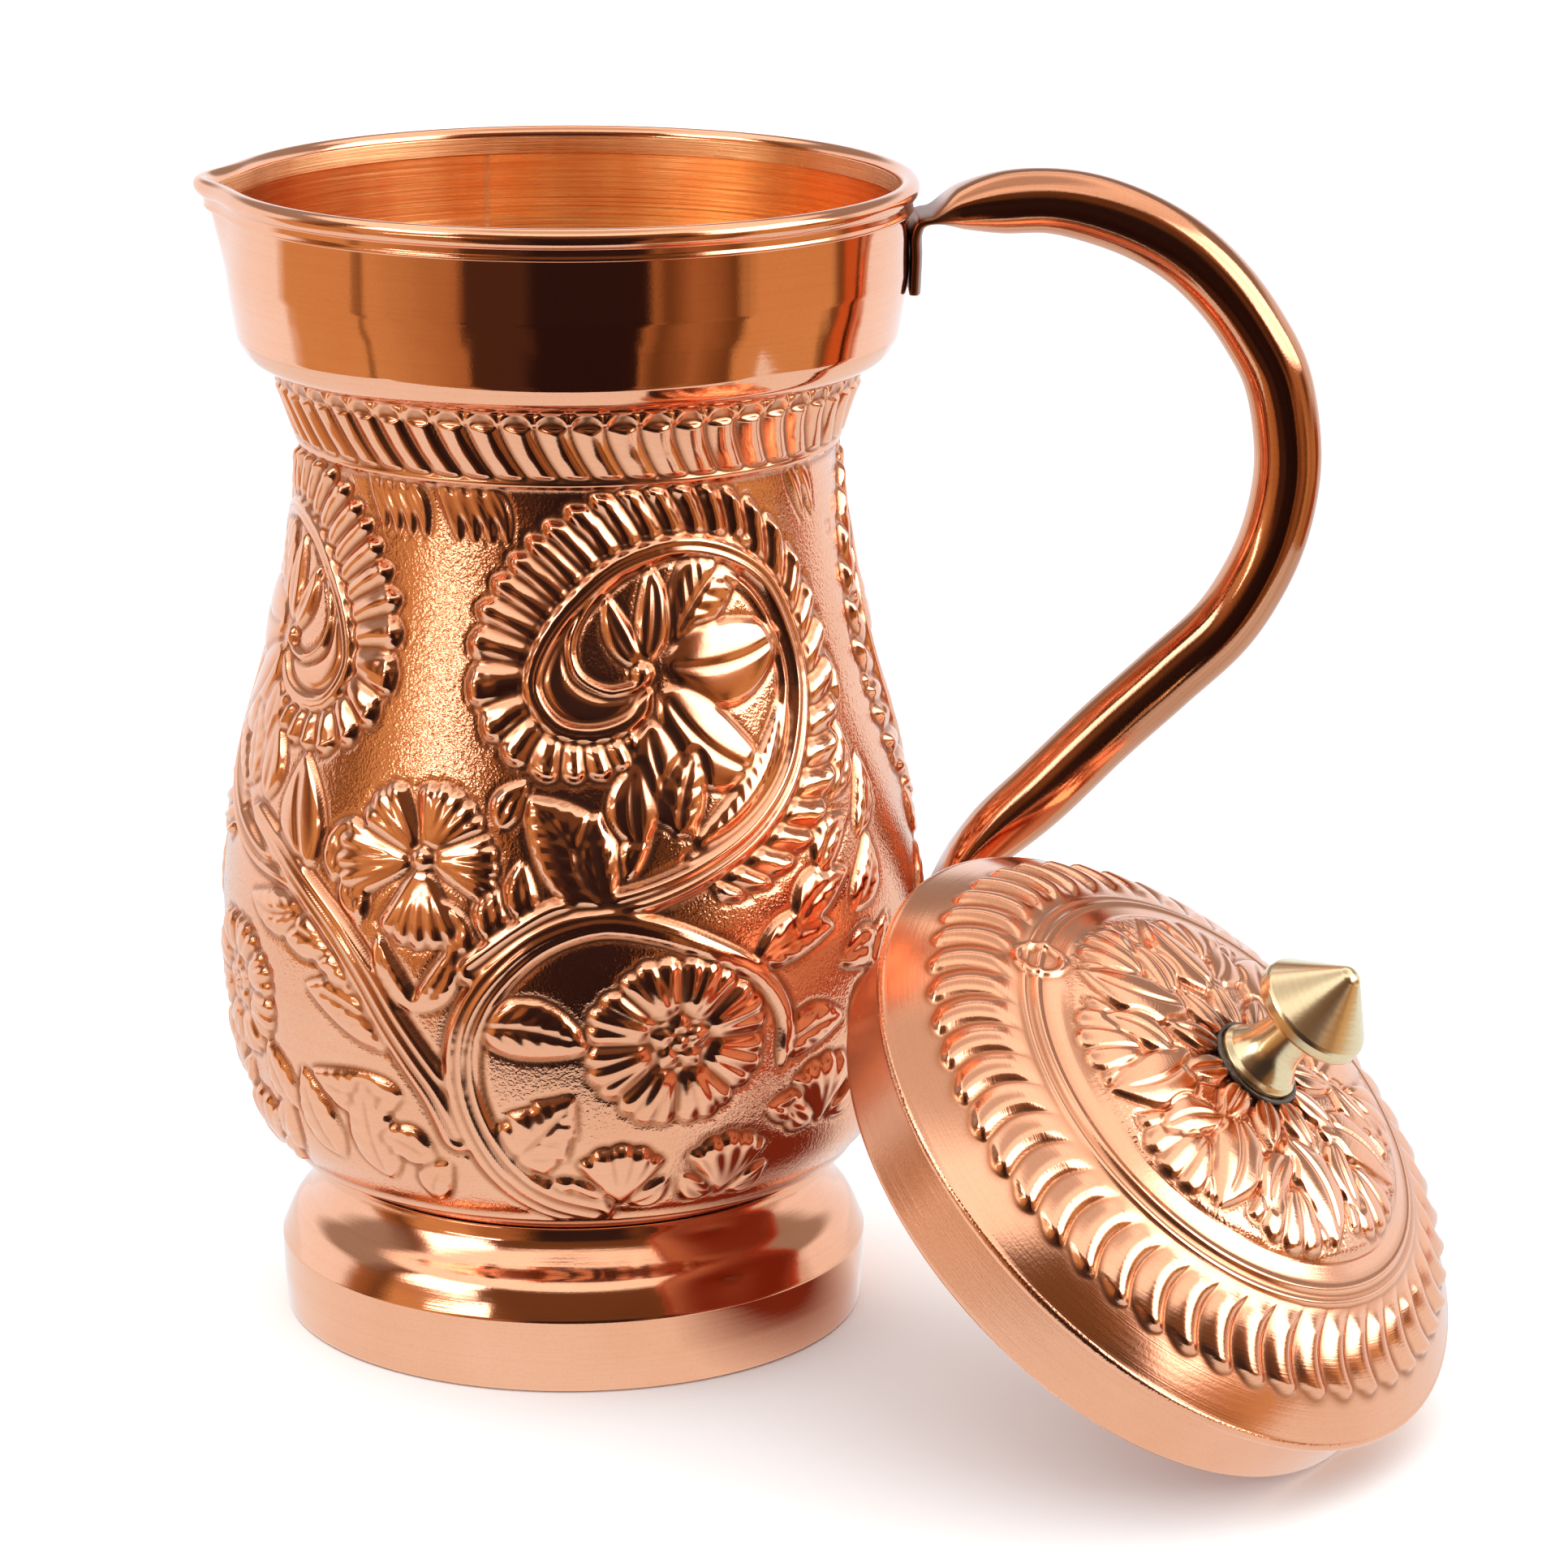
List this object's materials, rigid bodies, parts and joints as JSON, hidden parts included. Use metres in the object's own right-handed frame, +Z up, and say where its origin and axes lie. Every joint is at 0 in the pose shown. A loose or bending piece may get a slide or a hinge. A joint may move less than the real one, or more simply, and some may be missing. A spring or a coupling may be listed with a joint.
{
  "type": "jug",
  "caption": "Embossed copper water jug with plain collar, small pouring lip, round foot and tube handle, and a domed lid with a turned brass knob standing beside it.",
  "frame": {"origin": "centre of the jug's flat base, on the jug's axis, at the height of the table", "axes": "+Z up along the jug's axis, +X towards the handle, -X towards the pouring lip; the lid stands on the +X -Y side"},
  "size_m": [0.2151, 0.1858, 0.205],
  "materials": {
    "embossed_copper": "polished, embossed",
    "mirror_copper": "mirror polished",
    "rim_copper": "polished",
    "wire": "drawn wire, hidden in the rim",
    "foot_copper": "polished above, brushed on the band",
    "base_copper": "brushed",
    "handle_copper": "polished, browned at the brazed ends",
    "lid_copper": "polished, embossed",
    "skirt_copper": "polished",
    "knob_brass": "turned and polished",
    "solder": "dull",
    "nut_brass": "plain"
  },
  "bodies": {
    "jug": {"belly_shell": "embossed_copper", "mouth_collar": "mirror_copper", "rim_hem": "rim_copper", "rim_wire": "wire", "foot_ring": "foot_copper", "base_plate": "base_copper", "handle_tube": "handle_copper"},
    "lid": {"lid_cover": "lid_copper", "lid_skirt": "skirt_copper", "lid_knob": "knob_brass", "knob_solder_ring": "solder", "knob_nut": "nut_brass"}
  },
  "joints": [
    {"name": "lid_pull", "type": "slide", "parent": "jug", "child": "lid", "axis": [0.5651, -0.3783, 0.7331], "range_m": [0, 0.15]}
  ]
}
